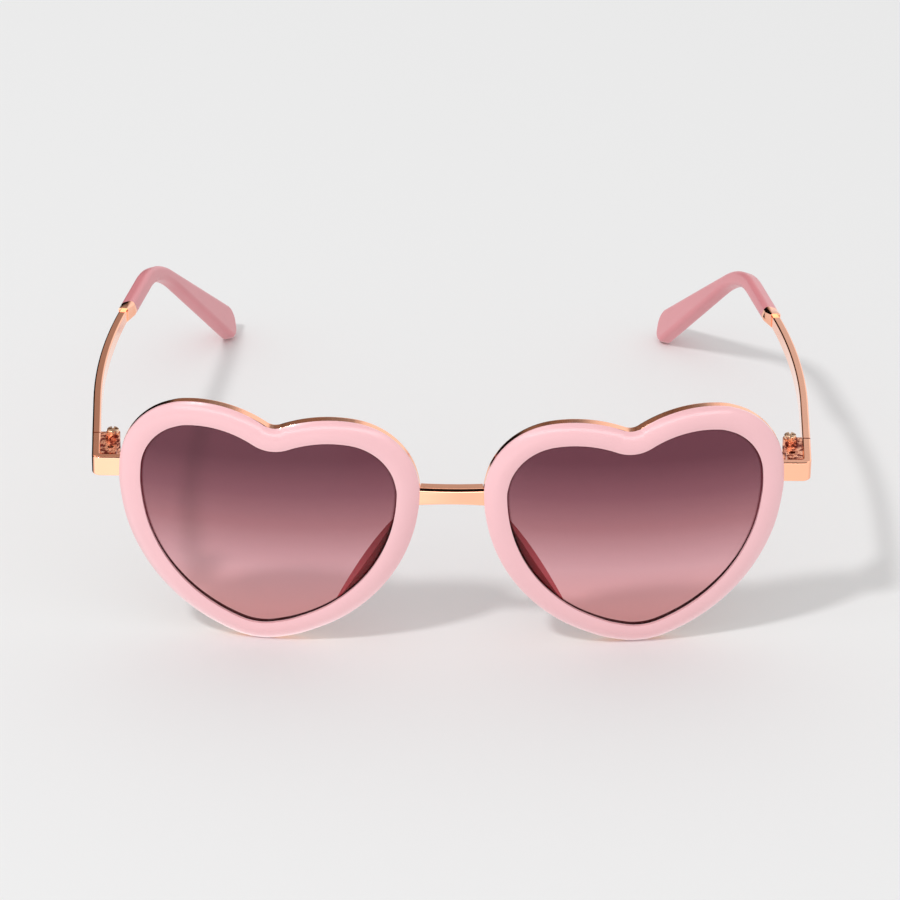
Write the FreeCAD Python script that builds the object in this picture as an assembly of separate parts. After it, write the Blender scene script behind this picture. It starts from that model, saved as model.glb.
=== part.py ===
import FreeCAD, Part
import math
import os

# Child's heart shaped sunglasses: pink rims on a rose gold wire front, with folding temples.
# Millimetres, +Z up. The lenses face -Y, the temples run to +Y and +X is the wearer's left.
# The left side is built about the middle of the left lens, then mirrored for the right.
# At the end the whole is moved so that the rims and the temple tips stand on Z = 0.

# Lens places: how far apart, how the front wraps round the face and leans, and its curve
LENS_SPACING = 65.0
WRAP_ANGLE = 6.0
TILT_ANGLE = 5.0
BASE_RADIUS = 90.0

# Heart outline at the edge of the opening, as circles at (outward, up) from the lens centre
TEMPORAL_LOBE = (12.7, 10.0)
TEMPORAL_LOBE_RADIUS = 10.1
TEMPORAL_CROWN_RADIUS = 17.6
TEMPORAL_FLANK_RADIUS = 31.1
NASAL_LOBE = (-12.2, 7.9)
NASAL_LOBE_RADIUS = 10.4
NASAL_CROWN_RADIUS = 19.4
NASAL_FLANK_RADIUS = 29.0
HEART_POINT = (1.4, -11.8)
HEART_POINT_RADIUS = 8.3
CLEFT_CROSSING = (-0.3, 15.6)
CLEFT_OUTER_RADIUS = 3.3

# Rim section: a domed pink ring on the front of a metal eye wire, with the lens trapped between
RIM_WIDTH = 3.9
RIM_SHOULDER_DROP = 1.4
RIM_LIP_DROP = 0.06
RIM_CROWN_BULGE = 0.58
RIM_PARTING = 0.6
LENS_THICKNESS = 1.8
LENS_SEAT = 1.0
LENS_CLEARANCE = 0.05
WIRE_LIP_REACH = 0.6
WIRE_LIP_THICKNESS = 0.8
WIRE_BACK_ROUND = 0.5

# Nose pad on the back of each eye wire, along its nasal flank
PAD_DROP = 8.7
PAD_LENGTH = 27.0
PAD_DEPTH = 4.8
PAD_MARGIN = 0.4
PAD_TOP = (-21.7, 1.3)
PAD_FOOT = (-11.1, -16.8)

# Bridge bar between the two eye wires
BRIDGE_RISE = 7.0
BRIDGE_HEIGHT = 3.7
BRIDGE_THICKNESS = 3.0
BRIDGE_BOW = 0.5
BRIDGE_ARCH = 0.6
BRIDGE_EDGE_ROUND = 0.8

# End piece: an L shaped bar that reaches out past the eye wire and round to the temple
END_PIECE_REACH = 4.9
END_PIECE_RISE = 9.3
END_PIECE_HEIGHT = 3.7
END_PIECE_LEG = 9.6
END_PIECE_CORNER = 1.6
END_PIECE_INNER_CORNER = 0.4
BAR_THICKNESS = 1.5
BAR_EDGE_ROUND = 0.3

# Hinge: two knuckles on the end piece, one on the temple, and a screw for the pin
TEMPLE_SPLAY = 2.6
HINGE_INSET = 2.2
HINGE_SETBACK = 1.4
HINGE_RISE = 0.4
HINGE_HEIGHT = 4.1
KNUCKLE_RADIUS = 1.3
KNUCKLE_GAP = 0.1
LEAF_THICKNESS = 0.7
FRONT_LEAF_LENGTH = 6.0
TEMPLE_LEAF_LENGTH = 2.9
LEAF_GAP = 0.12
HINGE_BLOCK_ROUND = 0.9
HINGE_POCKET_RADIUS = 0.55
HINGE_POCKET_DEPTH = 1.6
HINGE_WEB = 1.6
SCREW_RADIUS = 0.7
SCREW_CLEARANCE = 0.04
SCREW_HEAD_RADIUS = 1.05
SCREW_HEAD_HEIGHT = 0.8
SCREW_HEAD_ROUND = 0.2
SCREW_SLOT_WIDTH = 0.35
SCREW_SLOT_DEPTH = 0.4

# Temple arm: a flat bar that falls towards the back, straight at first and then bowed inward
SPLIT_GAP = 0.1
TEMPLE_DROP = 4.0
ARM_STRAIGHT = 15.7
ARM_BOW_RADIUS = 203.0
ARM_BOW_ANGLE = 11.9
ARM_END_HEIGHT = 2.2

# Cuff on the end of the arm
CUFF_LENGTH = 4.2
CUFF_STEP = 0.4
CUFF_WALL = 0.15
CUFF_FLARE = 3.2
CUFF_SOCKET = 1.5
CUFF_EDGE_ROUND = 0.25

# Pink tip behind the cuff, turned inward and bent down to the floor
TIP_THICKNESS = 2.9
TIP_HEIGHT = 2.9
TIP_SHIFT = 0.15
TIP_RISE = 0.5
TIP_ROLL = 19.0
TIP_STRAIGHT = 13.2
TIP_BEND_RADIUS = 25.0
TIP_DROP_ANGLE = 35.3
TIP_FLARE_ANGLE = 7.5
TIP_END_ROUND = 3.0
TIP_EDGE_ROUND = 1.0

# Steel core inside the tip
CORE_RADIUS = 0.5
CORE_CLEARANCE = 0.03
CORE_SHORT_OF_END = 8.0

# Room by which a cut runs past the piece that it cuts
CUT_ROOM = 5.0

Vector = FreeCAD.Vector
Placement = FreeCAD.Placement
Rotation = FreeCAD.Rotation
ACROSS = Vector(1, 0, 0)
BACKWARD = Vector(0, 1, 0)
UPWARD = Vector(0, 0, 1)

CLEFT_RADIUS = CLEFT_OUTER_RADIUS + RIM_WIDTH
RIM_DEPTH = RIM_PARTING + LENS_THICKNESS + WIRE_LIP_THICKNESS
LENS_TURN = Rotation(ACROSS, TILT_ANGLE).multiply(Rotation(UPWARD, WRAP_ANGLE))
LENS_PLACE = Placement(ACROSS * (LENS_SPACING / 2), LENS_TURN)
SAME_PLACE = 1e-6


# Small helpers

def placed(shape, placement):
    moved = shape.copy()
    moved.Placement = placement.multiply(moved.Placement)
    return moved


def mirrored(shape):
    return shape.mirror(Vector(0, 0, 0), ACROSS)


def box(low, high):
    low, high = Vector(*low), Vector(*high)
    size = high - low
    return Part.makeBox(size.x, size.y, size.z, low)


def upright_cylinder(radius, low, high):
    return Part.makeCylinder(radius, high - low, Vector(0, 0, low))


def line(start, end):
    return Part.LineSegment(start, end).toShape()


def arc(start, middle, end):
    return Part.Arc(start, middle, end).toShape()


def prism(edges, travel):
    return Part.Face(Part.Wire(edges)).extrude(travel)


def polygon_prism(points, travel):
    return Part.Face(Part.makePolygon(points + points[:1])).extrude(travel)


def joined(pieces):
    return pieces[0].fuse(pieces[1:]).removeSplitter()


def edges_within(shape, axis, place):
    """The edges of a shape that lie wholly in one plane square to an axis."""
    found = []
    for edge in shape.Edges:
        depths = [point.dot(axis) for point in edge.discretize(Number=3)]
        if all(abs(depth - place) < SAME_PLACE for depth in depths):
            found.append(edge)
    return found


def edges_through(shape, axis, point):
    """The straight edges of a shape that run along an axis through one point."""
    found = []
    for edge in shape.Edges:
        gaps = [(vertex.Point - point).cross(axis).Length for vertex in edge.Vertexes]
        if max(gaps) < SAME_PLACE:
            found.append(edge)
    return found


# Heart outline: four corner circles joined by four larger arcs, tangent all the way round

def meeting_point(centre_a, reach_a, centre_b, reach_b, side):
    """Where two circles cross, on the left (1) or the right (-1) of the line from a to b."""
    across = centre_b[0] - centre_a[0]
    up = centre_b[1] - centre_a[1]
    apart = math.hypot(across, up)
    along = (reach_a ** 2 - reach_b ** 2 + apart ** 2) / (2 * apart)
    aside = side * math.sqrt(reach_a ** 2 - along ** 2)
    x = centre_a[0] + (along * across - aside * up) / apart
    z = centre_a[1] + (along * up + aside * across) / apart
    return x, z


TEMPORAL_FLANK = meeting_point(
    HEART_POINT, TEMPORAL_FLANK_RADIUS - HEART_POINT_RADIUS,
    TEMPORAL_LOBE, TEMPORAL_FLANK_RADIUS - TEMPORAL_LOBE_RADIUS, 1)
TEMPORAL_CROWN = meeting_point(
    TEMPORAL_LOBE, TEMPORAL_CROWN_RADIUS - TEMPORAL_LOBE_RADIUS,
    CLEFT_CROSSING, TEMPORAL_CROWN_RADIUS, 1)
NASAL_CROWN = meeting_point(
    CLEFT_CROSSING, NASAL_CROWN_RADIUS,
    NASAL_LOBE, NASAL_CROWN_RADIUS - NASAL_LOBE_RADIUS, 1)
NASAL_FLANK = meeting_point(
    NASAL_LOBE, NASAL_FLANK_RADIUS - NASAL_LOBE_RADIUS,
    HEART_POINT, NASAL_FLANK_RADIUS - HEART_POINT_RADIUS, 1)
CLEFT = meeting_point(
    TEMPORAL_CROWN, TEMPORAL_CROWN_RADIUS + CLEFT_RADIUS,
    NASAL_CROWN, NASAL_CROWN_RADIUS + CLEFT_RADIUS, -1)


def bearing(origin, target):
    return math.atan2(target[1] - origin[1], target[0] - origin[0])


def heart_arcs(offset):
    """Centre, radius, first angle and turn of each arc, with the outline set out by an offset."""
    circles = [
        (HEART_POINT, HEART_POINT_RADIUS + offset, bearing(NASAL_FLANK, HEART_POINT)),
        (TEMPORAL_FLANK, TEMPORAL_FLANK_RADIUS + offset, bearing(TEMPORAL_FLANK, HEART_POINT)),
        (TEMPORAL_LOBE, TEMPORAL_LOBE_RADIUS + offset, bearing(TEMPORAL_FLANK, TEMPORAL_LOBE)),
        (TEMPORAL_CROWN, TEMPORAL_CROWN_RADIUS + offset, bearing(TEMPORAL_CROWN, TEMPORAL_LOBE)),
        (CLEFT, CLEFT_RADIUS - offset, bearing(TEMPORAL_CROWN, CLEFT)),
        (NASAL_CROWN, NASAL_CROWN_RADIUS + offset, bearing(NASAL_CROWN, CLEFT)),
        (NASAL_LOBE, NASAL_LOBE_RADIUS + offset, bearing(NASAL_CROWN, NASAL_LOBE)),
        (NASAL_FLANK, NASAL_FLANK_RADIUS + offset, bearing(NASAL_FLANK, NASAL_LOBE))]
    full_turn = 2 * math.pi
    arcs = []
    for index, (centre, radius, start) in enumerate(circles):
        following = circles[(index + 1) % len(circles)][2]
        turn = (following - start) % full_turn
        if centre is CLEFT:
            start += math.pi
            turn -= full_turn
        arcs.append((centre, radius, start, turn))
    return arcs


def heart_wire(offset):
    edges = []
    for centre, radius, start, turn in heart_arcs(offset):
        stops = []
        for angle in (start, start + turn / 2, start + turn):
            across = centre[0] + radius * math.cos(angle)
            up = centre[1] + radius * math.sin(angle)
            stops.append(Vector(across, 0, up))
        edges.append(arc(*stops))
    return Part.Wire(edges)


def heart_prism(offset):
    """The outline carried along the lens axis, from in front of the rim to behind the pads."""
    face = Part.Face(heart_wire(offset))
    face.translate(BACKWARD * -CUT_ROOM)
    return face.extrude(BACKWARD * (BASE_RADIUS / 2))


# Front curve: a sphere whose depth is measured back from the middle of the lens

def curve_depth(point, setback=0):
    return BASE_RADIUS - math.sqrt((BASE_RADIUS - setback) ** 2 - point.x ** 2 - point.z ** 2)


def curve_ball(setback):
    """All that lies behind the front curve, once that is set back by a distance."""
    return Part.makeSphere(BASE_RADIUS - setback, BACKWARD * BASE_RADIUS)


# Rim, eye wire and lens

SPINE_STOPS = 9


def on_curve(point):
    return Vector(point.x, curve_depth(point), point.z)


def tangent_on_curve(point, tangent):
    slope = (point.x * tangent.x + point.z * tangent.z) / (BASE_RADIUS - curve_depth(point))
    return Vector(tangent.x, slope, tangent.z)


def rim_spine():
    """The edge of the opening, laid on the front curve."""
    edges = []
    for flat in heart_wire(0).Edges:
        stops = flat.discretize(Number=SPINE_STOPS)
        curve = Part.BSplineCurve()
        curve.interpolate(
            Points=[on_curve(stop) for stop in stops],
            InitialTangent=tangent_on_curve(stops[0], flat.tangentAt(flat.FirstParameter)),
            FinalTangent=tangent_on_curve(stops[-1], flat.tangentAt(flat.LastParameter)))
        edges.append(curve.toShape())
    return Part.Wire(edges)


def rim_section(origin, outward):
    """Domed front, outer wall, rounded back edge and flat back of the rim and wire together."""
    def at(out, back):
        return origin + outward * out + BACKWARD * back

    lip = at(0, RIM_LIP_DROP)
    crown = at(RIM_WIDTH / 2, (RIM_LIP_DROP + RIM_SHOULDER_DROP) / 2 - RIM_CROWN_BULGE)
    shoulder = at(RIM_WIDTH, RIM_SHOULDER_DROP)
    back_bulge = WIRE_BACK_ROUND * (1 - math.sqrt(0.5))
    wall_end = at(RIM_WIDTH, RIM_DEPTH - WIRE_BACK_ROUND)
    back_start = at(RIM_WIDTH - WIRE_BACK_ROUND, RIM_DEPTH)
    return Part.Wire([
        line(at(0, RIM_DEPTH), lip),
        arc(lip, crown, shoulder),
        line(shoulder, wall_end),
        arc(wall_end, at(RIM_WIDTH - back_bulge, RIM_DEPTH - back_bulge), back_start),
        line(back_start, at(0, RIM_DEPTH))])


def make_rim_ring():
    """Rim and eye wire as one ring, swept round the opening."""
    spine = rim_spine()
    first = spine.Edges[0]
    tangent = first.tangentAt(first.FirstParameter)
    outward = Vector(tangent.z, 0, -tangent.x).normalize()
    sweep = Part.BRepOffsetAPI.MakePipeShell(spine)
    sweep.setBiNormalMode(BACKWARD)
    sweep.add(rim_section(first.valueAt(first.FirstParameter), outward), False, False)
    sweep.build()
    sweep.makeSolid()
    return sweep.shape()


def lens_blank(offset):
    front = curve_ball(RIM_PARTING)
    back = curve_ball(RIM_PARTING + LENS_THICKNESS)
    return heart_prism(offset).common(front.cut(back))


def make_lens():
    return lens_blank(LENS_SEAT)


def make_rim(ring):
    return ring.cut(curve_ball(RIM_PARTING))


def make_eye_wire(ring):
    wire = ring.common(curve_ball(RIM_PARTING))
    wire = wire.cut(lens_blank(LENS_SEAT + LENS_CLEARANCE))
    return wire.cut(heart_prism(LENS_SEAT - WIRE_LIP_REACH))


# Nose pad: a ridge on the back of the eye wire, highest half way along

def nasal_flank_point(height, offset):
    radius = NASAL_FLANK_RADIUS + offset
    across = math.sqrt(radius ** 2 - (height - NASAL_FLANK[1]) ** 2)
    return Vector(NASAL_FLANK[0] - across, 0, height)


def behind_pad_line():
    """All that lies on the nasal side of the straight inner edge of the pad."""
    top = Vector(PAD_TOP[0], -CUT_ROOM, PAD_TOP[1])
    foot = Vector(PAD_FOOT[0], -CUT_ROOM, PAD_FOOT[1])
    along = (foot - top).normalize() * PAD_LENGTH
    aside = BACKWARD.cross(along)
    corners = [top - along, foot + along, foot + along + aside, top - along + aside]
    return polygon_prism(corners, BACKWARD * (BASE_RADIUS / 2))


def make_nose_pad(eye_wire):
    """A foot on the back of the eye wire, and a shelf that reaches in behind the lens."""
    inner = LENS_SEAT + LENS_CLEARANCE + PAD_MARGIN
    outer = RIM_WIDTH - WIRE_BACK_ROUND
    middle = nasal_flank_point(-PAD_DROP, (inner + outer) / 2)
    seat = curve_depth(nasal_flank_point(-PAD_DROP, 0)) + RIM_DEPTH
    crest_radius = (PAD_LENGTH ** 2 / 4 + PAD_DEPTH ** 2) / (2 * PAD_DEPTH)
    crest = Part.makeSphere(crest_radius, middle + BACKWARD * (seat + PAD_DEPTH - crest_radius))
    root = curve_ball((RIM_PARTING + RIM_DEPTH) / 2)
    strip = heart_prism(outer).cut(heart_prism(inner))
    foot = strip.common(crest).common(root).cut(eye_wire)
    shelf = heart_prism(inner).common(behind_pad_line()).common(crest).common(curve_ball(RIM_DEPTH))
    return joined([foot, shelf])


# Bridge: a bar bowed forward and arched underneath, cut to fit the walls of the eye wires

def wire_wall_front(outward, up):
    """The front edge of the eye wire's outer wall at a point of the outline, as it stands."""
    edge = Vector(outward, 0, up)
    edge.y = curve_depth(edge, RIM_PARTING)
    return LENS_PLACE.multVec(edge)


def make_bridge():
    root = wire_wall_front(NASAL_LOBE[0] - NASAL_LOBE_RADIUS - RIM_WIDTH, BRIDGE_RISE)
    reach = root.x + RIM_WIDTH / 2
    low = root.z - BRIDGE_HEIGHT / 2
    front = root.y
    back = front + BRIDGE_THICKNESS

    def at(x, y):
        return Vector(x, y, low)

    bar = prism([
        arc(at(-reach, front), at(0, front - BRIDGE_BOW), at(reach, front)),
        line(at(reach, front), at(reach, back)),
        arc(at(reach, back), at(0, back - BRIDGE_BOW), at(-reach, back)),
        line(at(-reach, back), at(-reach, front))], UPWARD * BRIDGE_HEIGHT)
    arch_radius = (reach ** 2 + BRIDGE_ARCH ** 2) / (2 * BRIDGE_ARCH)
    arch_base = Vector(0, front - CUT_ROOM, low + BRIDGE_ARCH - arch_radius)
    arch = Part.makeCylinder(arch_radius, BRIDGE_THICKNESS + 2 * CUT_ROOM, arch_base, BACKWARD)
    bar = bar.cut(arch)
    lengthwise = [edge for edge in bar.Edges if edge.BoundBox.XLength > reach]
    bar = bar.makeFillet(BRIDGE_EDGE_ROUND, lengthwise)
    left_heart = placed(heart_prism(RIM_WIDTH), LENS_PLACE)
    return bar.cut(left_heart).cut(mirrored(left_heart))


# End piece, and the hinge frame: X out through the bar, Y back along the temple, Z up the pin

END_PIECE_ROOT = wire_wall_front(TEMPORAL_LOBE[0] + TEMPORAL_LOBE_RADIUS + RIM_WIDTH, END_PIECE_RISE)
FRONT_WIDTH = 2 * (END_PIECE_ROOT.x + END_PIECE_REACH)
END_PIECE_FRONT_CORNER = Vector(FRONT_WIDTH / 2, END_PIECE_ROOT.y, END_PIECE_ROOT.z)
SPLAY_TURN = Rotation(UPWARD, -TEMPLE_SPLAY)
PIN_FROM_CORNER = Vector(-BAR_THICKNESS - HINGE_INSET, END_PIECE_LEG - HINGE_SETBACK, 0)
HINGE_PLACE = Placement(END_PIECE_FRONT_CORNER + SPLAY_TURN.multVec(PIN_FROM_CORNER), SPLAY_TURN)
BAR_TOP = END_PIECE_HEIGHT / 2


def make_end_piece():
    corner = END_PIECE_FRONT_CORNER - UPWARD * BAR_TOP
    leg_outer = HINGE_PLACE.multVec(Vector(HINGE_INSET + BAR_THICKNESS, HINGE_SETBACK, -BAR_TOP))
    leg_inner = HINGE_PLACE.multVec(Vector(HINGE_INSET, HINGE_SETBACK, -BAR_TOP))
    back = corner.y + BAR_THICKNESS
    inner_x = leg_inner.x - (leg_inner.y - back) * math.tan(math.radians(TEMPLE_SPLAY))
    inner = Vector(inner_x, back, corner.z)
    root_x = END_PIECE_ROOT.x - RIM_WIDTH / 2
    bar = polygon_prism([
        corner, leg_outer, leg_inner, inner,
        Vector(root_x, back, corner.z), Vector(root_x, corner.y, corner.z)], UPWARD * END_PIECE_HEIGHT)
    bar = bar.makeFillet(END_PIECE_CORNER, edges_through(bar, UPWARD, corner))
    bar = bar.makeFillet(END_PIECE_INNER_CORNER, edges_through(bar, UPWARD, inner))
    rims = edges_within(bar, UPWARD, corner.z) + edges_within(bar, UPWARD, corner.z + END_PIECE_HEIGHT)
    bar = bar.makeFillet(BAR_EDGE_ROUND, rims)
    return bar.cut(placed(heart_prism(RIM_WIDTH), LENS_PLACE))


# Hinge leaves and screw

HINGE_LOW = HINGE_RISE - HINGE_HEIGHT / 2
HINGE_TOP = HINGE_RISE + HINGE_HEIGHT / 2
KNUCKLE_HEIGHT = (HINGE_HEIGHT - 2 * KNUCKLE_GAP) / 3
LEAF_INNER = HINGE_INSET - LEAF_THICKNESS
LEAF_TOP = BAR_TOP - BAR_EDGE_ROUND
ARM_START = HINGE_SETBACK + SPLIT_GAP


def make_hinge_front_leaf():
    """A plate on the end piece's leg, with a knuckle at the top and one at the bottom."""
    block_back = -KNUCKLE_RADIUS - KNUCKLE_GAP
    block_front = -FRONT_LEAF_LENGTH
    block = box((-SCREW_RADIUS, block_front, HINGE_LOW), (LEAF_INNER, block_back, LEAF_TOP))
    corner = Vector(-SCREW_RADIUS, block_front, HINGE_LOW)
    block = block.makeFillet(HINGE_BLOCK_ROUND, edges_through(block, UPWARD, corner))
    pocket = upright_cylinder(HINGE_POCKET_RADIUS, LEAF_TOP - HINGE_POCKET_DEPTH, LEAF_TOP + CUT_ROOM)
    pocket.translate(Vector((LEAF_INNER - SCREW_RADIUS) / 2, (block_front + block_back) / 2, 0))
    top_low = HINGE_TOP - KNUCKLE_HEIGHT
    low_top = HINGE_LOW + KNUCKLE_HEIGHT
    leaf = joined([
        box((LEAF_INNER, block_front, HINGE_LOW), (HINGE_INSET, HINGE_SETBACK, LEAF_TOP)),
        block.cut(pocket),
        upright_cylinder(KNUCKLE_RADIUS, HINGE_LOW, low_top),
        box((0, -KNUCKLE_RADIUS, HINGE_LOW), (HINGE_INSET, 0, low_top)),
        upright_cylinder(KNUCKLE_RADIUS, top_low, HINGE_TOP),
        box((0, -KNUCKLE_RADIUS, top_low), (HINGE_INSET, HINGE_SETBACK, LEAF_TOP))])
    thread = upright_cylinder(SCREW_RADIUS, HINGE_LOW - CUT_ROOM, HINGE_RISE)
    clear_hole = upright_cylinder(SCREW_RADIUS + SCREW_CLEARANCE, HINGE_RISE, HINGE_TOP + CUT_ROOM)
    return leaf.cut(thread).cut(clear_hole)


def make_hinge_temple_leaf():
    """A plate on the arm, with the middle knuckle on a cranked web."""
    web_end = ARM_START + HINGE_WEB
    plate_end = ARM_START + TEMPLE_LEAF_LENGTH
    low = HINGE_RISE - KNUCKLE_HEIGHT / 2
    high = HINGE_RISE + KNUCKLE_HEIGHT / 2
    leaf = joined([
        box((LEAF_INNER, ARM_START, HINGE_LOW), (HINGE_INSET, plate_end, HINGE_RISE)),
        upright_cylinder(KNUCKLE_RADIUS, low, high),
        box((0, 0, low), (LEAF_INNER - LEAF_GAP, web_end, high)),
        box((0, ARM_START, low), (HINGE_INSET, web_end, high))])
    return leaf.cut(upright_cylinder(SCREW_RADIUS + SCREW_CLEARANCE, HINGE_LOW, HINGE_TOP))


def make_hinge_screw():
    head_top = HINGE_TOP + SCREW_HEAD_HEIGHT
    head = upright_cylinder(SCREW_HEAD_RADIUS, HINGE_TOP, head_top)
    head = head.makeFillet(SCREW_HEAD_ROUND, edges_within(head, UPWARD, head_top))
    screw = joined([upright_cylinder(SCREW_RADIUS, HINGE_LOW, HINGE_TOP), head])
    half = SCREW_SLOT_WIDTH / 2
    floor = head_top - SCREW_SLOT_DEPTH
    room = head_top + CUT_ROOM
    for x, y in ((SCREW_HEAD_RADIUS, half), (half, SCREW_HEAD_RADIUS)):
        screw = screw.cut(box((-x, -y, floor), (x, y, room)))
    return screw


# Temple arm, in the temple frame: from the split, X out, Y back along the arm, Z up

TEMPLE_SET = Placement(BACKWARD * ARM_START, Rotation(ACROSS, -TEMPLE_DROP))
TEMPLE_PLACE = HINGE_PLACE.multiply(TEMPLE_SET)
ARM_MIDDLE = HINGE_INSET + BAR_THICKNESS / 2
ARM_END_LOW = BAR_TOP - ARM_END_HEIGHT


def bow_point(aside, degrees):
    """A point of the bowed stretch of the arm, beside its middle line."""
    radius = ARM_BOW_RADIUS + aside
    angle = math.radians(degrees)
    x = ARM_MIDDLE - ARM_BOW_RADIUS + radius * math.cos(angle)
    return Vector(x, ARM_STRAIGHT + radius * math.sin(angle), -BAR_TOP)


BOW_END = bow_point(0, ARM_BOW_ANGLE) + UPWARD * BAR_TOP
CUFF_SET = Placement(BOW_END, Rotation(UPWARD, ARM_BOW_ANGLE))
CUFF_PLACE = TEMPLE_PLACE.multiply(CUFF_SET)


def arm_taper():
    """What is cut away below the arm, so that it grows thinner towards the cuff."""
    level = BOW_END.y - BAR_THICKNESS
    end = BOW_END.y + CUFF_LENGTH + CUT_ROOM
    below = -BAR_TOP - CUT_ROOM
    corner = ACROSS * -ARM_BOW_RADIUS
    outline = [(0, -BAR_TOP), (level, ARM_END_LOW), (end, ARM_END_LOW), (end, below), (0, below)]
    points = [corner + Vector(0, y, z) for y, z in outline]
    return polygon_prism(points, ACROSS * (2 * ARM_BOW_RADIUS))


def make_temple_arm():
    half = BAR_THICKNESS / 2
    outer = [bow_point(half, share * ARM_BOW_ANGLE) for share in (0, 0.5, 1)]
    inner = [bow_point(-half, share * ARM_BOW_ANGLE) for share in (1, 0.5, 0)]
    outer_start = Vector(ARM_MIDDLE + half, -CUT_ROOM, -BAR_TOP)
    inner_start = Vector(ARM_MIDDLE - half, -CUT_ROOM, -BAR_TOP)
    outer_end = CUFF_SET.multVec(Vector(half, CUFF_SOCKET, -BAR_TOP))
    inner_end = CUFF_SET.multVec(Vector(-half, CUFF_SOCKET, -BAR_TOP))
    arm = prism([
        line(outer_start, outer[0]), arc(*outer), line(outer[-1], outer_end),
        line(outer_end, inner_end),
        line(inner_end, inner[0]), arc(*inner), line(inner[-1], inner_start),
        line(inner_start, outer_start)], UPWARD * END_PIECE_HEIGHT)
    arm = arm.makeFillet(BAR_EDGE_ROUND, edges_within(arm, UPWARD, BAR_TOP))
    split = box((0, ARM_START - 2 * CUT_ROOM, -CUT_ROOM), (ARM_MIDDLE + CUT_ROOM, ARM_START, CUT_ROOM))
    return arm.cut(arm_taper()).cut(placed(split, TEMPLE_SET.inverse()))


# Cuff, in the cuff frame: X out, Y back, Z up, from where the arm enters it

TIP_SET = Placement(Vector(-TIP_SHIFT, CUFF_LENGTH, TIP_RISE), Rotation(BACKWARD, TIP_ROLL))
TIP_PLACE = CUFF_PLACE.multiply(TIP_SET)


def rounded_outline(width, height, edge_round):
    """A rounded rectangle about the Y axis."""
    across = width / 2 - edge_round
    up = height / 2 - edge_round
    corners = []
    for quarter, (x, z) in enumerate([(across, up), (-across, up), (-across, -up), (across, -up)]):
        stops = []
        for share in (0, 0.5, 1):
            angle = (quarter + share) * math.pi / 2
            stops.append(Vector(x + edge_round * math.cos(angle), 0, z + edge_round * math.sin(angle)))
        corners.append(stops)
    edges = []
    for stops, following in zip(corners, corners[1:] + corners[:1]):
        edges.append(arc(*stops))
        edges.append(line(stops[-1], following[0]))
    return Part.Wire(edges)


def make_temple_cuff():
    """A collar that flares from the end of the arm to the mouth of the tip."""
    low = ARM_END_LOW - CUFF_WALL
    high = BAR_TOP + CUFF_STEP
    front = rounded_outline(BAR_THICKNESS + 2 * CUFF_WALL, high - low, CUFF_EDGE_ROUND)
    front.translate(UPWARD * ((low + high) / 2))
    mouth = placed(rounded_outline(TIP_THICKNESS, TIP_HEIGHT, TIP_EDGE_ROUND), TIP_SET)
    collar_length = CUFF_LENGTH - CUFF_FLARE
    back = mouth.copy()
    back.translate(BACKWARD * -collar_length)
    flare = Part.makeLoft([front, back], True, True)
    collar = Part.Face(back).extrude(BACKWARD * collar_length)
    half_bar = BAR_THICKNESS / 2
    socket = box((-half_bar, -CUT_ROOM, ARM_END_LOW), (half_bar, CUFF_SOCKET, BAR_TOP))
    bore = placed(core_rod(CORE_RADIUS + CORE_CLEARANCE), TIP_SET)
    return joined([flare, collar]).cut(socket).cut(bore)


# Tip and core, in the tip frame: Y along the middle of the tip from the cuff, bent down towards -Z

DROP = math.radians(TIP_DROP_ANGLE)
FLARED_DROP = math.radians(TIP_DROP_ANGLE + TIP_FLARE_ANGLE)
TOP_RUN = Vector(0, math.cos(DROP), -math.sin(DROP))
LOW_RUN = Vector(0, math.cos(FLARED_DROP), -math.sin(FLARED_DROP))
LOW_RISE = Vector(0, math.sin(FLARED_DROP), math.cos(FLARED_DROP))
TOP_RADIUS = TIP_BEND_RADIUS + TIP_HEIGHT / 2
LOW_RADIUS = TIP_BEND_RADIUS - TIP_HEIGHT / 2


def bend_point(radius, angle):
    """A point of the bend, in the middle of the tip's thickness."""
    return Vector(0, TIP_STRAIGHT + radius * math.sin(angle), radius * math.cos(angle) - TIP_BEND_RADIUS)


def floor_level():
    """The lowest edge of the rim, as it stands."""
    opening = Vector(HEART_POINT[0], 0, HEART_POINT[1] - HEART_POINT_RADIUS)
    depth = curve_depth(opening) + RIM_SHOULDER_DROP
    return LENS_PLACE.multVec(Vector(opening.x, depth, opening.z - RIM_WIDTH)).z


def tip_corners():
    """Upper and lower corner of the tip's end, placed so that its rounded heel meets the floor."""
    down = TIP_PLACE.Rotation.inverted().multVec(-UPWARD)
    down_in_profile = math.hypot(down.y, down.z)
    side_reach = (TIP_THICKNESS / 2 - TIP_EDGE_ROUND) * abs(down.x) + TIP_EDGE_ROUND
    heel_reach = (TIP_END_ROUND - TIP_EDGE_ROUND) * down_in_profile + side_reach
    half_heel = (math.pi / 2 - math.radians(TIP_FLARE_ANGLE)) / 2
    run_start = bend_point(LOW_RADIUS, FLARED_DROP)
    heel_from_corner = LOW_RISE * TIP_END_ROUND - LOW_RUN * (TIP_END_ROUND / math.tan(half_heel))
    fall = TIP_PLACE.Base.z - floor_level() - heel_reach
    run = (fall - (run_start + heel_from_corner).dot(down)) / LOW_RUN.dot(down)
    low_corner = run_start + LOW_RUN * run
    top_start = bend_point(TOP_RADIUS, DROP)
    top_corner = top_start + TOP_RUN * (low_corner - top_start).dot(TOP_RUN)
    return top_corner, low_corner


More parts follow.
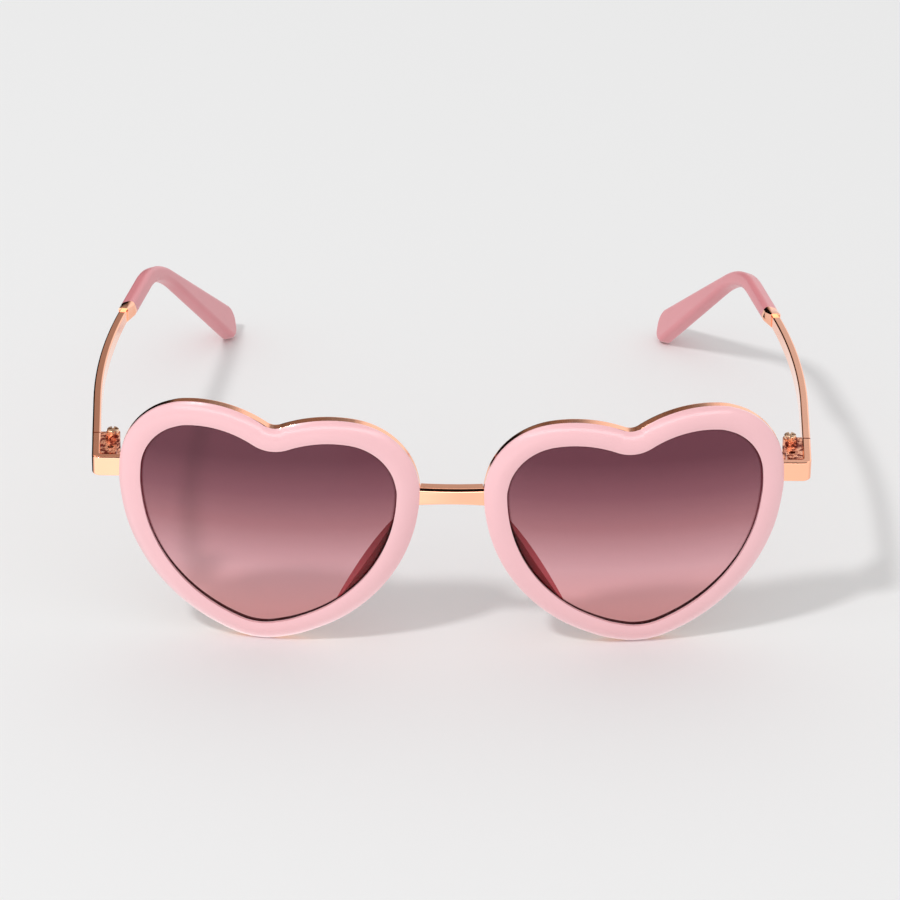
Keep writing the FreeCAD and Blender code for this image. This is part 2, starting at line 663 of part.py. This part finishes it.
def make_temple_tip():
    top_corner, low_corner = tip_corners()
    top_start = Vector(0, 0, TIP_HEIGHT / 2)
    low_start = Vector(0, 0, -TIP_HEIGHT / 2)
    top = [bend_point(TOP_RADIUS, share * DROP) for share in (0, 0.5, 1)]
    low = [bend_point(LOW_RADIUS, share * FLARED_DROP) for share in (1, 0.5, 0)]
    tip = prism([
        line(top_start, top[0]), arc(*top), line(top[-1], top_corner),
        line(top_corner, low_corner),
        line(low_corner, low[0]), arc(*low), line(low[-1], low_start),
        line(low_start, top_start)], ACROSS * TIP_THICKNESS)
    half = TIP_THICKNESS / 2
    tip.translate(ACROSS * -half)
    ends = edges_through(tip, ACROSS, top_corner) + edges_through(tip, ACROSS, low_corner)
    tip = tip.makeFillet(TIP_END_ROUND, ends)
    sides = edges_within(tip, ACROSS, -half) + edges_within(tip, ACROSS, half)
    mouth = [edge.hashCode() for edge in edges_within(tip, BACKWARD, 0)]
    tip = tip.makeFillet(TIP_EDGE_ROUND, [edge for edge in sides if edge.hashCode() not in mouth])
    return tip.cut(core_rod(CORE_RADIUS + CORE_CLEARANCE))


def core_rod(radius):
    """A round rod along the middle of the tip, from the end of the arm inside the cuff."""
    start = BACKWARD * (CUFF_SOCKET - CUFF_LENGTH)
    bend = [bend_point(TIP_BEND_RADIUS, share * DROP) for share in (0, 0.5, 1)]
    run = (tip_corners()[0] - bend_point(TOP_RADIUS, DROP)).Length - CORE_SHORT_OF_END
    path = Part.Wire([line(start, bend[0]), arc(*bend), line(bend[-1], bend[-1] + TOP_RUN * run)])
    section = Part.Wire([Part.makeCircle(radius, start, BACKWARD)])
    return path.makePipeShell([section], True, True)


def make_tip_core():
    return core_rod(CORE_RADIUS)


# Assembly

def left_pieces():
    """Every piece of the left side, by name, as it stands."""
    ring = make_rim_ring()
    eye_wire = make_eye_wire(ring)
    lens_frame = {
        "eye_wire": eye_wire,
        "rim": make_rim(ring),
        "lens": make_lens(),
        "nose_pad": make_nose_pad(eye_wire)}
    hinge_frame = {
        "hinge_front_leaf": make_hinge_front_leaf(),
        "hinge_temple_leaf": make_hinge_temple_leaf(),
        "hinge_screw": make_hinge_screw()}
    tip_frame = {
        "temple_tip": make_temple_tip(),
        "tip_core_wire": make_tip_core()}
    frames = [
        (lens_frame, LENS_PLACE),
        (hinge_frame, HINGE_PLACE),
        ({"temple_arm": make_temple_arm()}, TEMPLE_PLACE),
        ({"temple_cuff": make_temple_cuff()}, CUFF_PLACE),
        (tip_frame, TIP_PLACE)]
    pieces = {"end_piece": make_end_piece()}
    for frame, place in frames:
        for name, shape in frame.items():
            pieces[name] = placed(shape, place)
    return pieces


def all_pieces():
    """Both sides and the bridge, on the floor and centred over the origin."""
    pieces = {"bridge": make_bridge()}
    for name, shape in left_pieces().items():
        pieces["left_" + name] = shape
        pieces["right_" + name] = mirrored(shape)
    extent = Part.makeCompound(list(pieces.values())).optimalBoundingBox()
    shift = Vector(0, -(extent.YMin + extent.YMax) / 2, -floor_level())
    return {name: placed(shape, Placement(shift, Rotation())) for name, shape in pieces.items()}


def main():
    os.makedirs("parts", exist_ok=True)
    for name, shape in all_pieces().items():
        shape.exportStep("parts/" + name + ".step")


main()
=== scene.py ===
"""Finishes, studio and camera for a child's heart shaped sunglasses."""

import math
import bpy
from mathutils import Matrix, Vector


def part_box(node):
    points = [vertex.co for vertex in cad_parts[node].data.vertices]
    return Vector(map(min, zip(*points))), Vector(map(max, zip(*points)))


bl_info = {
    "name": "Heart sunglasses",
    "version": (1, 0, 0),
    "blender": (4, 5, 0),
    "location": "View3D > Sidebar > Sunglasses",
    "description": "Finishes the pieces of heart shaped sunglasses and sets up the studio",
    "category": "Object",
}

import bpy
from bpy.props import FloatProperty, FloatVectorProperty, PointerProperty
from bpy.types import Operator, Panel, PropertyGroup
from mathutils import Matrix, Vector

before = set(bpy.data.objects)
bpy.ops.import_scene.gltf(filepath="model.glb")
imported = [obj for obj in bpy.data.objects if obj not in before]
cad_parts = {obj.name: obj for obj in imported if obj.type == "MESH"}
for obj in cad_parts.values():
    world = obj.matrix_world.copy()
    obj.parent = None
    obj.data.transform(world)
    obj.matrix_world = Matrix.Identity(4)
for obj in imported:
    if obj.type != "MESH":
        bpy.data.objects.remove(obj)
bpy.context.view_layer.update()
SIDES = ("left", "right")
LENS_LOW, LENS_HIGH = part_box("left_lens")
SCREW_LOW, SCREW_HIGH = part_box("left_hinge_screw")
ARM_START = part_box("left_temple_arm")[0].y
WHITE = (1.0, 1.0, 1.0, 1.0)


# Shader expressions

class Value:
    """A shader socket that takes part in Python expressions."""

    def __init__(self, shader, socket):
        self.shader = shader
        self.socket = socket

    def output(self, name):
        return Value(self.shader, self.socket.node.outputs[name])

    def math(self, operation, other):
        return self.shader.node("ShaderNodeMath", {"operation": operation}, {0: self, 1: other})

    def __add__(self, other):
        return self.math("ADD", other)

    def __mul__(self, other):
        return self.math("MULTIPLY", other)

    def __pow__(self, other):
        return self.math("POWER", other)

    def __sub__(self, other):
        return self.math("SUBTRACT", other)

    def __rsub__(self, other):
        return self.shader.node("ShaderNodeMath", {"operation": "SUBTRACT"}, {0: other, 1: self})

    def __abs__(self):
        return self.math("ABSOLUTE", 0)

    __radd__ = __add__
    __rmul__ = __mul__


class Shader:
    """The node tree of a material or of the world."""

    def __init__(self, owner):
        owner.use_nodes = True
        self.tree = owner.node_tree
        self.tree.nodes.clear()

    def node(self, kind, settings=None, sockets=None, output=0):
        """Adds a node: its settings come first, then the values or links of its sockets."""
        made = self.tree.nodes.new(kind)
        for name, value in (settings or {}).items():
            if name == "stops":
                set_stops(made.color_ramp.elements, value)
            else:
                setattr(made, name, value)
        for name, value in (sockets or {}).items():
            if isinstance(value, Value):
                self.tree.links.new(value.socket, made.inputs[name])
            else:
                made.inputs[name].default_value = value
        return Value(self, made.outputs[output]) if made.outputs else made

    def place(self):
        return self.node("ShaderNodeTexCoord", output="Object")

    def facing(self):
        """The direction that a surface faces, in the frame of its own piece."""
        return self.node("ShaderNodeTexCoord", output="Normal")

    def parts_of(self, vector):
        split = self.node("ShaderNodeSeparateXYZ", None, {"Vector": vector})
        return split, split.output("Y"), split.output("Z")

    def stretched(self, vector, scale):
        return self.node("ShaderNodeVectorMath", {"operation": "MULTIPLY"}, {0: vector, 1: scale})

    def noise(self, vector, scale, detail=2.0):
        """Noise with a number of waves to the metre."""
        return self.node("ShaderNodeTexNoise", None, {"Vector": vector, "Scale": scale, "Detail": detail})

    def rise(self, value, start, end):
        """Goes smoothly from 0 at the start to 1 at the end."""
        settings = {"interpolation_type": "SMOOTHSTEP"}
        sockets = {"Value": value, "From Min": start, "From Max": end}
        return self.node("ShaderNodeMapRange", settings, sockets)

    def fall(self, value, start, end):
        """Goes smoothly from 1 at the start to 0 at the end."""
        return 1 - self.rise(value, start, end)

    def blend(self, share, first, second):
        """A colour between two others."""
        sockets = {0: share, 6: first, 7: second}
        return self.node("ShaderNodeMix", {"data_type": "RGBA"}, sockets, 2)

    def mottle(self, share, colour, darkest, palest):
        """One colour at two levels, and those between them."""
        return self.blend(share, shade(colour, darkest), shade(colour, palest))

    def ramp(self, share, stops):
        """A colour that goes from stop to stop as a value goes from 0 to 1."""
        return self.node("ShaderNodeValToRGB", {"stops": stops}, {"Fac": share})

    def bump(self, height, strength, depth):
        sockets = {"Height": height, "Strength": strength, "Distance": depth}
        return self.node("ShaderNodeBump", None, sockets)

    def mix(self, share, first, second):
        """A surface between two others."""
        return self.node("ShaderNodeMixShader", None, {0: share, 1: first, 2: second})


def set_stops(elements, stops):
    """Puts stops into a new colour ramp in place of the two that it has."""
    elements.remove(elements[0])
    for place, colour in stops:
        elements.new(place).color = opaque(colour)
    elements.remove(elements[-1])


def between(share, first, second):
    """A number that goes from the first to the second as a value goes from 0 to 1."""
    return first + (second - first) * share


def opaque(colour):
    return (*colour, 1.0)


def shade(colour, level):
    return opaque(level * channel for channel in colour)


def make_finish(name, recipe, *details):
    """Makes a material from a recipe that gives the sockets of its surface."""
    material = bpy.data.materials.new(name)
    shader = Shader(material)
    surface = shader.node("ShaderNodeBsdfPrincipled", None, recipe(shader, *details))
    shader.node("ShaderNodeOutputMaterial", None, {"Surface": surface})
    return material


def wear(material, names):
    """Gives a finish to pieces of the frame."""
    for name in names:
        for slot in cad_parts[name].material_slots:
            slot.material = material


def both(*names):
    return [side + "_" + name for name in names for side in SIDES]


# What a user would change

def colour_property(name, description, default):
    return FloatVectorProperty(
        name=name, description=description, subtype="COLOR", size=3, min=0.0, max=1.0, default=default)


class SunglassesColours(PropertyGroup):
    rim_pink: colour_property("Rim", "Gloss pink of the domed rims", (0.955, 0.55, 0.582))
    rose_gold: colour_property("Rose gold", "Polished plating of the bars and wires", (0.95, 0.465, 0.305))
    lens_top: colour_property("Lens top", "Tint at the top of the lens", (0.172, 0.049, 0.072))
    lens_upper: colour_property("Lens upper", "Tint a quarter of the way down", (0.297, 0.106, 0.136))
    lens_middle: colour_property("Lens middle", "Tint half way down the lens", (0.48, 0.203, 0.229))
    lens_lower: colour_property("Lens lower", "Tint three quarters of the way down", (0.82, 0.446, 0.485))
    lens_bottom: colour_property("Lens bottom", "Tint at the bottom of the lens", (1.0, 0.49, 0.495))
    # This colour also serves as the painted shade on the eye wire's wall round the lens and along the
    # lens's rim
    ground_edge_and_painted_shade: colour_property("Lens edge", "Ground edge of the lens", (0.05, 0.003, 0.006))
    tip_pink: colour_property("Tip", "Satin pink of the temple tips", (0.735, 0.258, 0.288))
    pad_pink: colour_property("Nose pad", "Moulded plastic of the nose pads", (0.66, 0.04, 0.08))
    hinge_copper: colour_property("Hinge", "Cast metal of the hinge leaves", (1.0, 0.46, 0.29))
    hinge_pits: colour_property("Hinge pits", "Dark red in the pits of the cast metal", (0.2, 0.018, 0.008))
    screw_gold: colour_property("Screw", "Turned metal of the hinge screws", (0.92, 0.62, 0.42))
    core_steel: colour_property("Core", "Drawn wire inside the tips", (0.6, 0.6, 0.61))


class SunglassesStudio(PropertyGroup):
    floor_grey: colour_property("Floor", "Plain pale floor", (0.84, 0.84, 0.84))
    backdrop_level: FloatProperty(
        name="Backdrop", description="How pale the backdrop looks to the camera",
        min=0.0, max=1.0, default=0.84)
    key_place: FloatVectorProperty(
        name="Key light", description="Where the key light stands",
        subtype="XYZ", unit="LENGTH", size=3, default=(-1.12, -1.25, 2.22))
    key_width: FloatProperty(
        name="Key width", description="Side of the square key light",
        unit="LENGTH", min=0.01, default=0.27)
    key_power: FloatProperty(
        name="Key power", description="Power of the key light",
        unit="POWER", min=0.0, default=24.0)
    fill_level: FloatProperty(
        name="Fill", description="Level of the soft light from all round", min=0.0, default=0.76)
    mirrored_floor: FloatProperty(
        name="Mirrored floor", description="How pale the floor in front looks in polished metal",
        min=0.0, max=1.5, default=1.22)
    camera_elevation: FloatProperty(
        name="Elevation", description="How far above the horizon the camera stands",
        subtype="ANGLE", default=math.radians(27.5))
    camera_swing: FloatProperty(
        name="Swing", description="How far the camera stands to the side",
        subtype="ANGLE", default=math.radians(-0.655))
    camera_roll: FloatProperty(
        name="Roll", description="Turn of the camera about its own line of sight",
        subtype="ANGLE", default=math.radians(0.781))
    camera_distance: FloatProperty(
        name="Distance", description="From the camera to the point that it looks at",
        unit="LENGTH", min=0.1, default=0.9)
    camera_lens: FloatProperty(
        name="Focal length", description="Focal length of the camera in millimetres",
        unit="CAMERA", min=10.0, default=206.4)
    camera_aim: FloatVectorProperty(
        name="Aim", description="The point that the camera looks at",
        subtype="XYZ", unit="LENGTH", size=3, default=(-0.00045, -0.06482, 0.041))


# Finishes: each recipe gives the sockets of a surface

# The lens: how high its dyes lie, how its ground edge is told from its faces, and the painted shade along
# the rim, found by ambient occlusion
LENS_STOPS = (0.1, 0.32, 0.53, 0.68, 0.84)
LENS_FACES = (0.5, 0.7)
GROUND_ROUGHNESS = 0.3
LENS_PAINTED_SHADE_REACH = 0.0007
LENS_PAINTED_SHADE_RANGE = (0.6, 0.95)
ANTI_GLARE = (0.3, 0.3, 0.3)

# The plating: its polishing lines, the painted shade on the wall round the lens and the painted shade on
# the faces where an arm starts
POLISHED_ALONG = (1.0, 0.06, 1.0)
WIRE_WALL_PAINTED_SHADE_REACH = (0.003, 0.006)
ARM_GAP_PAINTED_SHADE_REACH = (0.0005, 0.0007)
ARM_GAP_PAINTED_SHADE_FACING = (0.8, 0.95)
ARM_GAP_PAINTED_SHADE_LEVEL = 0.4

# The hinges and what is inside the tips
PIT_EDGE = (0.38, 0.58)
RING_RATE = 26000.0
DRAWN_ALONG = (1.0, 0.03, 0.3)


def pink_enamel(shader, colours):
    """Gloss pink with a faint ripple, as poured enamel has."""
    place = shader.place()
    cloud = shader.noise(place, scale=90.0)
    ripple = shader.noise(place, scale=420.0, detail=1.0)
    return {
        "Base Color": shader.mottle(cloud, colours.rim_pink, darkest=0.97, palest=1.03),
        "Roughness": between(cloud, 0.26, 0.32),
        "Coat Weight": 0.5,
        "Coat Roughness": 0.1,
        "Normal": shader.bump(ripple, strength=0.04, depth=0.0002)}


def plating(shader, colours):
    """Polished plating with fine polishing lines and a slight drift in tone."""
    place = shader.place()
    drift = shader.noise(place, scale=120.0)
    lines = shader.noise(shader.stretched(place, POLISHED_ALONG), scale=2600.0, detail=1.0)
    return {
        "Base Color": shader.mottle(drift, colours.rose_gold, darkest=0.94, palest=1.05),
        "Metallic": 1.0,
        "Roughness": between(drift, 0.09, 0.14) + between(lines, 0.0, 0.03),
        "Normal": shader.bump(lines, strength=0.05, depth=0.00003)}


def rose_gold(shader, colours):
    """Plating with painted shade on the two faces that meet in front of each arm."""
    sockets = plating(shader, colours)
    _, back, _ = shader.parts_of(shader.place())
    _, facing_back, _ = shader.parts_of(shader.facing())
    # Painted shade: the faces of the gap between end piece and arm are darkened
    near = shader.fall(abs(back - ARM_START), *ARM_GAP_PAINTED_SHADE_REACH)
    arm_gap_painted_shade = near * shader.rise(abs(facing_back), *ARM_GAP_PAINTED_SHADE_FACING)
    arm_gap_shade_colour = shade(colours.rose_gold, ARM_GAP_PAINTED_SHADE_LEVEL)
    sockets["Base Color"] = shader.blend(arm_gap_painted_shade, sockets["Base Color"], arm_gap_shade_colour)
    return sockets


def wire_plating_with_painted_shade(shader, colours, side):
    """Plating with painted shade on the wall round the lens, which is also rougher there."""
    sockets = plating(shader, colours)
    low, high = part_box(side + "_lens")
    middle = (low + high) / 2
    across, _, height = shader.parts_of(shader.place())
    facing_across, _, facing_up = shader.parts_of(shader.facing())
    inward = facing_across * (middle.x - across) + facing_up * (middle.z - height)
    # Painted shade: the wall that faces the lens takes the dark edge colour
    wall = shader.rise(inward, *WIRE_WALL_PAINTED_SHADE_REACH)
    sockets["Base Color"] = shader.blend(wall, sockets["Base Color"], opaque(colours.ground_edge_and_painted_shade))
    sockets["Roughness"] = sockets["Roughness"] + GROUND_ROUGHNESS * wall
    return sockets


def lens_tint(shader, colours, height):
    """The dye of a lens, which fades from plum at the top to pink at the bottom."""
    share = shader.node("ShaderNodeMapRange", None, {
        "Value": height, "From Min": LENS_LOW.z, "From Max": LENS_HIGH.z})
    dyes = (
        colours.lens_bottom, colours.lens_lower, colours.lens_middle,
        colours.lens_upper, colours.lens_top)
    return shader.ramp(share, zip(LENS_STOPS, dyes))


def tinted_lens(shader, colours):
    """Clear dyed plastic with a dark ground edge, and painted shade where it meets the rim."""
    place = shader.place()
    _, _, height = shader.parts_of(place)
    _, facing_back, _ = shader.parts_of(shader.facing())
    ground = shader.fall(abs(facing_back), *LENS_FACES)
    # Painted shade: ambient occlusion near the rim darkens the lens to its edge colour
    uncovered = shader.node("ShaderNodeAmbientOcclusion", None, {"Distance": LENS_PAINTED_SHADE_REACH}, "AO")
    lens_painted_shade = shader.fall(uncovered, *LENS_PAINTED_SHADE_RANGE)
    # The dark edge colour covers the ground edge and the painted shade along the rim
    edge = ground + lens_painted_shade * (1 - ground)
    smudge = shader.noise(place, scale=55.0)
    return {
        "Base Color": shader.blend(edge, lens_tint(shader, colours, height), opaque(colours.ground_edge_and_painted_shade)),
        "Roughness": between(smudge, 0.015, 0.035) + GROUND_ROUGHNESS * ground,
        "IOR": 1.5,
        "Specular Tint": opaque(ANTI_GLARE),
        "Transmission Weight": 1.0}


def pink_tip(shader, colours):
    """Moulded plastic with a satin skin."""
    place = shader.place()
    cloud = shader.noise(place, scale=110.0)
    grain = shader.noise(place, scale=2400.0, detail=3.0)
    return {
        "Base Color": shader.mottle(cloud, colours.tip_pink, darkest=0.94, palest=1.05),
        "Roughness": between(grain, 0.38, 0.48),
        "Coat Weight": 0.3,
        "Coat Roughness": 0.2,
        "Normal": shader.bump(grain, strength=0.05, depth=0.00004)}


def pad_plastic(shader, colours):
    """Smooth moulded plastic with little shine."""
    place = shader.place()
    cloud = shader.noise(place, scale=160.0)
    grain = shader.noise(place, scale=1500.0)
    return {
        "Base Color": shader.mottle(cloud, colours.pad_pink, darkest=0.92, palest=1.06),
        "Roughness": between(cloud, 0.45, 0.55),
        "Specular IOR Level": 0.15,
        "Normal": shader.bump(grain, strength=0.05, depth=0.00005)}


def hinge_metal(shader, colours):
    """Cast metal, dark red in its pits and plated on its high spots."""
    pits = shader.noise(shader.place(), scale=1300.0, detail=3.0)
    high_spots = shader.rise(pits, *PIT_EDGE)
    return {
        "Base Color": shader.blend(high_spots, opaque(colours.hinge_pits), opaque(colours.hinge_copper)),
        "Metallic": 0.85,
        "Roughness": between(high_spots, 0.42, 0.22),
        "Normal": shader.bump(pits, strength=0.5, depth=0.0004)}


def screw_metal(shader, colours):
    """Turned metal, with rings about the axis of the screw."""
    across, back, _ = shader.parts_of(shader.place())
    axis = (SCREW_LOW + SCREW_HIGH) / 2
    out = ((abs(across) - axis.x) ** 2 + (back - axis.y) ** 2) ** 0.5
    rings = shader.node("ShaderNodeMath", {"operation": "SINE"}, {0: RING_RATE * out})
    share = between(rings, 0.5, 1.0)
    return {
        "Base Color": shader.mottle(share, colours.screw_gold, darkest=0.4, palest=1.0),
        "Metallic": 1.0,
        "Roughness": between(share, 0.22, 0.3),
        "Normal": shader.bump(rings, strength=0.1, depth=0.00004)}


def core_steel(shader, colours):
    """Drawn wire with lines along its length."""
    lines = shader.noise(shader.stretched(shader.place(), DRAWN_ALONG), scale=4000.0)
    return {
        "Base Color": shader.mottle(lines, colours.core_steel, darkest=0.85, palest=1.0),
        "Metallic": 1.0,
        "Roughness": between(lines, 0.25, 0.4),
        "Normal": shader.bump(lines, strength=0.1, depth=0.00003)}


# Operators

class SUNGLASSES_OT_rims(Operator):
    """Coat the domed rims in gloss pink"""
    bl_idname = "sunglasses.rims"
    bl_label = "Rims"

    def execute(self, context):
        colours = context.scene.sunglasses_colours
        wear(make_finish("pink_enamel", pink_enamel, colours), both("rim"))
        return {"FINISHED"}


class SUNGLASSES_OT_plating(Operator):
    """Plate the bridge, eye wires, end pieces, arms and cuffs in rose gold"""
    bl_idname = "sunglasses.plating"
    bl_label = "Rose gold"

    def execute(self, context):
        colours = context.scene.sunglasses_colours
        bars = ["bridge"] + both("end_piece", "temple_arm", "temple_cuff")
        # The rose gold finish paints shade on the faces where each arm starts
        wear(make_finish("rose_gold", rose_gold, colours), bars)
        for side in SIDES:
            # This finish paints shade on the eye wire's wall round the lens
            gold = make_finish(side + "_wire_plating_with_painted_shade", wire_plating_with_painted_shade, colours, side)
            wear(gold, [side + "_eye_wire"])
        return {"FINISHED"}


class SUNGLASSES_OT_lenses(Operator):
    """Dye the lenses from plum to pink"""
    bl_idname = "sunglasses.lenses"
    bl_label = "Lenses"

    def execute(self, context):
        colours = context.scene.sunglasses_colours
        wear(make_finish("tinted_lens", tinted_lens, colours), both("lens"))
        return {"FINISHED"}


class SUNGLASSES_OT_tips(Operator):
    """Finish the temple tips and the wires inside them"""
    bl_idname = "sunglasses.tips"
    bl_label = "Tips"

    def execute(self, context):
        colours = context.scene.sunglasses_colours
        wear(make_finish("pink_tip", pink_tip, colours), both("temple_tip"))
        wear(make_finish("core_steel", core_steel, colours), both("tip_core_wire"))
        return {"FINISHED"}


class SUNGLASSES_OT_pads(Operator):
    """Finish the nose pads"""
    bl_idname = "sunglasses.pads"
    bl_label = "Nose pads"

    def execute(self, context):
        colours = context.scene.sunglasses_colours
        wear(make_finish("pad_plastic", pad_plastic, colours), both("nose_pad"))
        return {"FINISHED"}


class SUNGLASSES_OT_hinges(Operator):
    """Finish the cast hinge leaves and their screws"""
    bl_idname = "sunglasses.hinges"
    bl_label = "Hinges"

    def execute(self, context):
        colours = context.scene.sunglasses_colours
        leaves = both("hinge_front_leaf", "hinge_temple_leaf")
        wear(make_finish("hinge_metal", hinge_metal, colours), leaves)
        wear(make_finish("screw_metal", screw_metal, colours), both("hinge_screw"))
        return {"FINISHED"}


class SUNGLASSES_OT_stage(Operator):
    """Lay the floor, set the lights and place the camera"""
    bl_idname = "sunglasses.stage"
    bl_label = "Studio"

    def execute(self, context):
        studio = context.scene.sunglasses_studio
        context.scene.view_settings.view_transform = "Standard"
        lay_floor(studio)
        light_world(context.scene, studio)
        hang_key_light(context.scene, studio)
        place_camera(context.scene, studio)
        return {"FINISHED"}


# Studio

# The floor as polished metal shows it: places are in metres, and a pair says where an edge starts and ends
FLOOR_WIDTH = 12.0
PALEST_FLOOR = 2.0
BACK_FLOOR = 0.95
FRONT_EDGE = (-0.06, -0.05)
LEFT_GAIN = 0.5
LEFT_EDGE = (-0.03, 0.01)
CARD_SIDE = (-0.08, -0.07)
CARD_FRONT = (-0.04, -0.02)

# The room as polished metal shows it: a pair says in which direction an edge starts and ends
BEHIND = (-0.1, 0.1)
SIDE_EDGE = (0.5, 0.75)
SIDE_LEVEL = 1.2
BACK_WALL_LEVELS = (0.26, 1.21)
BACK_WALL_EDGE = (-0.2, 0.35)
BACK_WALL_TOP = (0.56, 0.62)
STRIP_LEVEL = 1.6
STRIP_FOOT = (0.62, 0.68)
STRIP_TOP = (0.8, 0.86)
FRONT_WALL_LEVEL = 1.2
FRONT_WALL_TOP = (0.45, 0.6)
BAND_LEVEL = 3.0
BAND_FOOT = (0.34, 0.42)
BAND_TOP = (0.54, 0.62)
FLAG_EDGE = (-0.24, -0.14)
FLAG_TOP = (0.35, 0.45)
WARM_EDGE = (-0.1, 0.05)
WARM_WALL = (1.0, 0.77, 0.63)


def seen_in_metal(shader):
    """1 for a ray off a polished surface, 0 for one seen directly or through a lens."""
    mirrored = shader.node("ShaderNodeLightPath", output="Is Glossy Ray")
    return mirrored * (1 - mirrored.output("Is Transmission Ray"))


def mirrored_floor(shader, studio):
    """How pale the floor looks in polished metal: palest at the front left, dark at the back left."""
    across, back, _ = shader.parts_of(shader.place())
    front = shader.fall(back, *FRONT_EDGE)
    gain = studio.mirrored_floor - BACK_FLOOR + LEFT_GAIN * shader.fall(across, *LEFT_EDGE)
    dark_card = shader.fall(across, *CARD_SIDE) * shader.rise(back, *CARD_FRONT)
    return (BACK_FLOOR + gain * front) * (1 - dark_card)


def lay_floor(studio):
    bpy.ops.object.select_all(action="DESELECT")
    bpy.ops.mesh.primitive_plane_add(size=FLOOR_WIDTH)
    floor = bpy.context.object
    floor.name = "floor"
    material = bpy.data.materials.new("pale_floor")
    shader = Shader(material)
    matt = shader.node("ShaderNodeBsdfDiffuse", None, {"Color": opaque(studio.floor_grey)})
    dark = shader.node("ShaderNodeEmission", None, {"Strength": 0.0})
    pale = shader.node("ShaderNodeEmission", None, {"Color": WHITE, "Strength": PALEST_FLOOR})
    mirrored = shader.mix((1 / PALEST_FLOOR) * mirrored_floor(shader, studio), dark, pale)
    surface = shader.mix(seen_in_metal(shader), matt, mirrored)
    shader.node("ShaderNodeOutputMaterial", None, {"Surface": surface})
    floor.data.materials.append(material)


def studio_panels(shader):
    """What polished metal mirrors: pale walls, dark overhead and at the back left, and a strip at the back.

    The second value says where the wall is warm in colour.
    """
    right, back, up = shader.parts_of(shader.node("ShaderNodeTexCoord", output="Generated"))
    behind = shader.rise(back, *BEHIND)
    aside = shader.rise(abs(right), *SIDE_EDGE)
    back_wall = between(shader.rise(right, *BACK_WALL_EDGE), *BACK_WALL_LEVELS)
    strip = shader.rise(up, *STRIP_FOOT) * shader.fall(up, *STRIP_TOP)
    back_light = back_wall * shader.fall(up, *BACK_WALL_TOP) + STRIP_LEVEL * strip
    band = shader.rise(up, *BAND_FOOT) * shader.fall(up, *BAND_TOP)
    front_light = FRONT_WALL_LEVEL * shader.fall(up, *FRONT_WALL_TOP) + BAND_LEVEL * band
    middle = back_light * behind + front_light * (1 - behind)
    flag = shader.fall(right, *FLAG_EDGE) * shader.fall(up, *FLAG_TOP) * behind
    warmth = shader.fall(right, *WARM_EDGE) * behind
    return (middle * (1 - aside) + SIDE_LEVEL * aside) * (1 - flag), warmth


def light_world(scene, studio):
    """An even soft light from all round, and panels that show only in polished surfaces."""
    world = bpy.data.worlds.new("studio")
    scene.world = world
    shader = Shader(world)
    path = shader.node("ShaderNodeLightPath", output="Is Camera Ray")
    direct = path + path.output("Is Transmission Ray")
    mirrored = seen_in_metal(shader)
    panels, warmth = studio_panels(shader)
    strength = (studio.backdrop_level * direct + panels * mirrored
                + studio.fill_level * (1 - direct - mirrored))
    colour = shader.blend(warmth * mirrored, WHITE, opaque(WARM_WALL))
    glow = shader.node("ShaderNodeBackground", None, {"Color": colour, "Strength": strength})
    shader.node("ShaderNodeOutputWorld", None, {"Surface": glow})


def hang_key_light(scene, studio):
    lamp = bpy.data.lights.new("key_light", "AREA")
    lamp.size = studio.key_width
    lamp.energy = studio.key_power
    holder = bpy.data.objects.new("key_light", lamp)
    holder.location = studio.key_place
    holder.rotation_euler = (-holder.location).to_track_quat("-Z", "Y").to_euler()
    scene.collection.objects.link(holder)


def place_camera(scene, studio):
    """The camera looks down at the front, from a little to one side and slightly turned."""
    elevation, swing, roll = studio.camera_elevation, studio.camera_swing, studio.camera_roll
    level = math.cos(elevation)
    away = Vector((level * math.sin(swing), -level * math.cos(swing), math.sin(elevation)))
    across = Vector((0, 0, 1)).cross(away).normalized()
    over = away.cross(across)
    turned = math.cos(roll) * across + math.sin(roll) * over
    upright = math.cos(roll) * over - math.sin(roll) * across
    view = Matrix((turned, upright, away)).transposed().to_4x4()
    view.translation = Vector(studio.camera_aim) + studio.camera_distance * away
    camera = bpy.data.cameras.new("camera")
    camera.lens = studio.camera_lens
    holder = bpy.data.objects.new("camera", camera)
    holder.matrix_world = view
    scene.collection.objects.link(holder)
    scene.camera = holder


# Panel and registration

PIECE_OPERATORS = (
    SUNGLASSES_OT_rims,
    SUNGLASSES_OT_plating,
    SUNGLASSES_OT_lenses,
    SUNGLASSES_OT_tips,
    SUNGLASSES_OT_pads,
    SUNGLASSES_OT_hinges,
    SUNGLASSES_OT_stage,
)


class SUNGLASSES_PT_panel(Panel):
    bl_label = "Sunglasses"
    bl_idname = "SUNGLASSES_PT_panel"
    bl_space_type = "VIEW_3D"
    bl_region_type = "UI"
    bl_category = "Sunglasses"

    def draw(self, context):
        for operator in PIECE_OPERATORS:
            self.layout.operator(operator.bl_idname)
        for settings in (context.scene.sunglasses_colours, context.scene.sunglasses_studio):
            box = self.layout.box()
            for name in settings.__annotations__:
                box.prop(settings, name)


CLASSES = (SunglassesColours, SunglassesStudio, *PIECE_OPERATORS, SUNGLASSES_PT_panel)


def register():
    for each in CLASSES:
        bpy.utils.register_class(each)
    bpy.types.Scene.sunglasses_colours = PointerProperty(type=SunglassesColours)
    bpy.types.Scene.sunglasses_studio = PointerProperty(type=SunglassesStudio)


def unregister():
    del bpy.types.Scene.sunglasses_studio
    del bpy.types.Scene.sunglasses_colours
    for each in reversed(CLASSES):
        bpy.utils.unregister_class(each)


def main():
    register()
    bpy.ops.sunglasses.rims()
    bpy.ops.sunglasses.plating()
    bpy.ops.sunglasses.lenses()
    bpy.ops.sunglasses.tips()
    bpy.ops.sunglasses.pads()
    bpy.ops.sunglasses.hinges()
    bpy.ops.sunglasses.stage()


if __name__ == "__main__":
    main()
